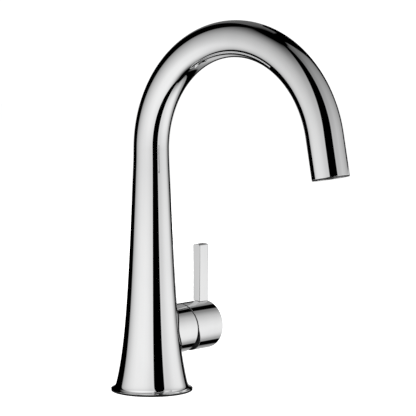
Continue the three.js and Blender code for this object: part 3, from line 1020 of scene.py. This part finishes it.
def directions(tree):
    """Degrees round and up from an object's own centre, from -Y toward +X and from level toward +Z."""
    place = tree.nodes.new("ShaderNodeTexCoord")
    unit = tree.nodes.new("ShaderNodeVectorMath")
    unit.operation = "NORMALIZE"
    axes = tree.nodes.new("ShaderNodeSeparateXYZ")
    tree.links.new(place.outputs["Object"], unit.inputs[0])
    tree.links.new(unit.outputs["Vector"], axes.inputs["Vector"])
    up = calculate(tree, "ARCSINE", axes.outputs["Z"])
    front = calculate(tree, "MULTIPLY", axes.outputs["Y"], -1.0)
    around = calculate(tree, "ARCTAN2", axes.outputs["X"], front)
    return calculate(tree, "DEGREES", around), calculate(tree, "DEGREES", up)


def tent_light():
    material, tree, glow = emission("soft panels")
    around, up = directions(tree)
    total = 0.0
    for panel in (FRONT_LEFT, FRONT_RIGHT, BEHIND_LOW, BEHIND_HIGH):
        total = calculate(tree, "ADD", panel_light(tree, panel, around, up), total)
    tree.links.new(total, glow.inputs["Color"])
    glow.inputs["Strength"].default_value = PEAK
    return material


def only_reflected(light):
    """Hides a part of the studio from everything but reflections."""
    for kind in ("camera", "diffuse", "transmission", "volume_scatter", "shadow"):
        setattr(light, "visible_" + kind, False)
    return light


def light_tent():
    """The sphere round the faucet that carries the panels."""
    rows, sides, radius = 48, 96, TENT_RADIUS / MM
    rings = []
    for i in range(rows + 1):
        tilt = math.pi * (i / rows - 0.5)
        centre = radius * math.sin(tilt) * Z_AXIS
        ring = circle(centre, X_AXIS, Y_AXIS, radius * math.cos(tilt), sides)
        rings.append(ring if 0 < i < rows else [centre])
    tent = stitched("light_tent", rings, closed=False)
    tent.data.materials.append(tent_light())
    tent.location = TENT_CENTRE
    return only_reflected(tent)


def card(name, corners, cover):
    """A flat black card. Cover is a function of the shader tree that gives how much light the card stops."""
    material, tree, glow = emission(name)
    glow.inputs["Strength"].default_value = 0.0
    clear = tree.nodes.new("ShaderNodeBsdfTransparent")
    both = tree.nodes.new("ShaderNodeMixShader")
    tree.links.new(cover(tree), both.inputs["Fac"])
    tree.links.new(clear.outputs["BSDF"], both.inputs[1])
    tree.links.new(glow.outputs["Emission"], both.inputs[2])
    tree.links.new(both.outputs["Shader"], tree.nodes["Material Output"].inputs["Surface"])
    mesh = bpy.data.meshes.new(name)
    mesh.from_pydata([Vector(corner) * MM for corner in corners], [], [range(len(corners))])
    mesh.materials.append(material)
    flat = bpy.data.objects.new(name, mesh)
    bpy.context.scene.collection.objects.link(flat)
    return only_reflected(flat)


def shade():
    """A graded card beside the spout that darkens its far edge. It is blackest toward +Y and low down."""
    beside, pivot, slope = 120, 280, 0.32
    outline = ((-60, 238), (-500, 238), (-500, 620), (-230, 620), (-100, 520), (-60, 500))
    stops = [
        (-455, 0), (-385, 0.1), (-345, 0.15), (-305, 0.25), (-270, 0.32), (-245, 0.45),
        (-232, 0.8), (-227, 1),
    ]

    def grading(tree):
        """The cover at each stop of Y, in millimetres, along lines that lean toward +Y as they rise."""
        axes = tree.nodes.new("ShaderNodeSeparateXYZ")
        place = tree.nodes.new("ShaderNodeTexCoord")
        tree.links.new(place.outputs["Object"], axes.inputs["Vector"])
        above = calculate(tree, "SUBTRACT", axes.outputs["Z"], pivot * MM)
        level = calculate(tree, "SUBTRACT", axes.outputs["Y"], calculate(tree, "MULTIPLY", above, slope))
        return lookup(tree, calculate(tree, "DIVIDE", level, MM), stops)

    return card("shade", [(beside, y, z) for y, z in outline], grading)


def screen():
    """A card between the column and the tip, black to light that leaves the tip and clear the other way."""
    between = -140
    outline = ((-50, 200), (17, 200), (12, 315), (-24, 315), (-42, 270))

    def one_way(tree):
        side = tree.nodes.new("ShaderNodeNewGeometry")
        return calculate(tree, "SUBTRACT", 1.0, side.outputs["Backfacing"])

    return card("screen", [(x, between, z) for x, z in outline], one_way)


def foot_light():
    """A flat ring of light just above the foot, which shines steeply down on the curl of the lip."""
    inner, outer, height = 33, 75, 0.03
    material, tree, glow = emission("foot light")
    around, _ = directions(tree)
    facing = tree.nodes.new("ShaderNodeLayerWeight")
    facing.inputs["Blend"].default_value = 0.5
    side = tree.nodes.new("ShaderNodeNewGeometry")
    steep = calculate(tree, "SUBTRACT", 1.0, step(tree, facing.outputs["Facing"], 0.1, 0.5))
    left = calculate(tree, "SUBTRACT", step(tree, around, -150, -140), step(tree, around, -44, -40))
    right = calculate(tree, "SUBTRACT", step(tree, around, -20, -14), step(tree, around, 95, 110))
    lit = calculate(tree, "MULTIPLY", calculate(tree, "ADD", left, right), steep)
    lit = calculate(tree, "MULTIPLY", lit, calculate(tree, "SUBTRACT", 1.0, side.outputs["Backfacing"]))
    tree.links.new(lit, glow.inputs["Color"])
    glow.inputs["Strength"].default_value = 0.5
    clear = tree.nodes.new("ShaderNodeBsdfTransparent")
    both = tree.nodes.new("ShaderNodeAddShader")
    tree.links.new(glow.outputs["Emission"], both.inputs[0])
    tree.links.new(clear.outputs["BSDF"], both.inputs[1])
    tree.links.new(both.outputs["Shader"], tree.nodes["Material Output"].inputs["Surface"])
    rings = [circle(ORIGIN, X_AXIS, Y_AXIS, radius) for radius in (inner, outer)]
    ring = stitched("foot_light", rings, closed=False)
    ring.data.materials.append(material)
    ring.location = (0, 0, height)
    return only_reflected(ring)


def floor():
    """A pale ground with the tap hole in it. It glows, so that it shows as even white."""
    material, tree, shader = new_material("pale floor")
    pale = mixed(tree, noise(tree, 3), (0.9, 0.9, 0.9), (0.93, 0.93, 0.93))
    tree.links.new(pale, shader.inputs["Base Color"])
    shader.inputs["Roughness"].default_value = 0.8
    shader.inputs["Emission Color"].default_value = (1, 1, 1, 1)
    shader.inputs["Emission Strength"].default_value = 1.0
    hole, reach = 17.5, 8000
    rings = [circle(ORIGIN, X_AXIS, Y_AXIS, radius) for radius in (hole, reach)]
    ground = stitched("floor", rings, closed=False)
    ground.data.materials.append(material)
    ground.visible_glossy = False
    ground.visible_diffuse = False
    return ground


def soft_box(name, place, aim, size, watts):
    """A square lamp for the matte pieces; the polished ones don't reflect it."""
    lamp = bpy.data.lights.new(name, "AREA")
    lamp.shape = "SQUARE"
    lamp.size = size
    lamp.energy = watts
    light = bpy.data.objects.new(name, lamp)
    light.location = place
    light.rotation_euler = (Vector(aim) - Vector(place)).to_track_quat("-Z", "Y").to_euler()
    light.visible_glossy = False
    bpy.context.scene.collection.objects.link(light)


def world():
    """An even white backdrop that lights and reflects in nothing."""
    sky = bpy.data.worlds.new("pale studio")
    sky.use_nodes = True
    backdrop = sky.node_tree.nodes["Background"]
    backdrop.inputs["Color"].default_value = (1, 1, 1, 1)
    backdrop.inputs["Strength"].default_value = 1.1
    sky.cycles_visibility.diffuse = False
    sky.cycles_visibility.glossy = False
    bpy.context.scene.world = sky


def camera():
    """A long lens in front of the faucet and to its left, which looks slightly down."""
    heading, down = -48.97, 5.24
    lens = bpy.data.cameras.new("camera")
    lens.sensor_width = 36
    lens.lens = 163.26
    eye = bpy.data.objects.new("camera", lens)
    eye.location = (-1.38085, -1.27663, 0.35641)
    eye.rotation_euler = (math.radians(90 - down), 0, math.radians(heading))
    bpy.context.scene.collection.objects.link(eye)
    bpy.context.scene.camera = eye


light_tent()
shade()
screen()
foot_light()
floor()
soft_box("key", (-1.2, -1.6, 1.6), (0, -0.1, 0.1), 1.2, 40)
soft_box("fill", (1.6, 0.8, 1.0), (0, -0.1, 0.1), 1.2, 20)
world()
camera()
bpy.context.scene.view_settings.view_transform = "Standard"
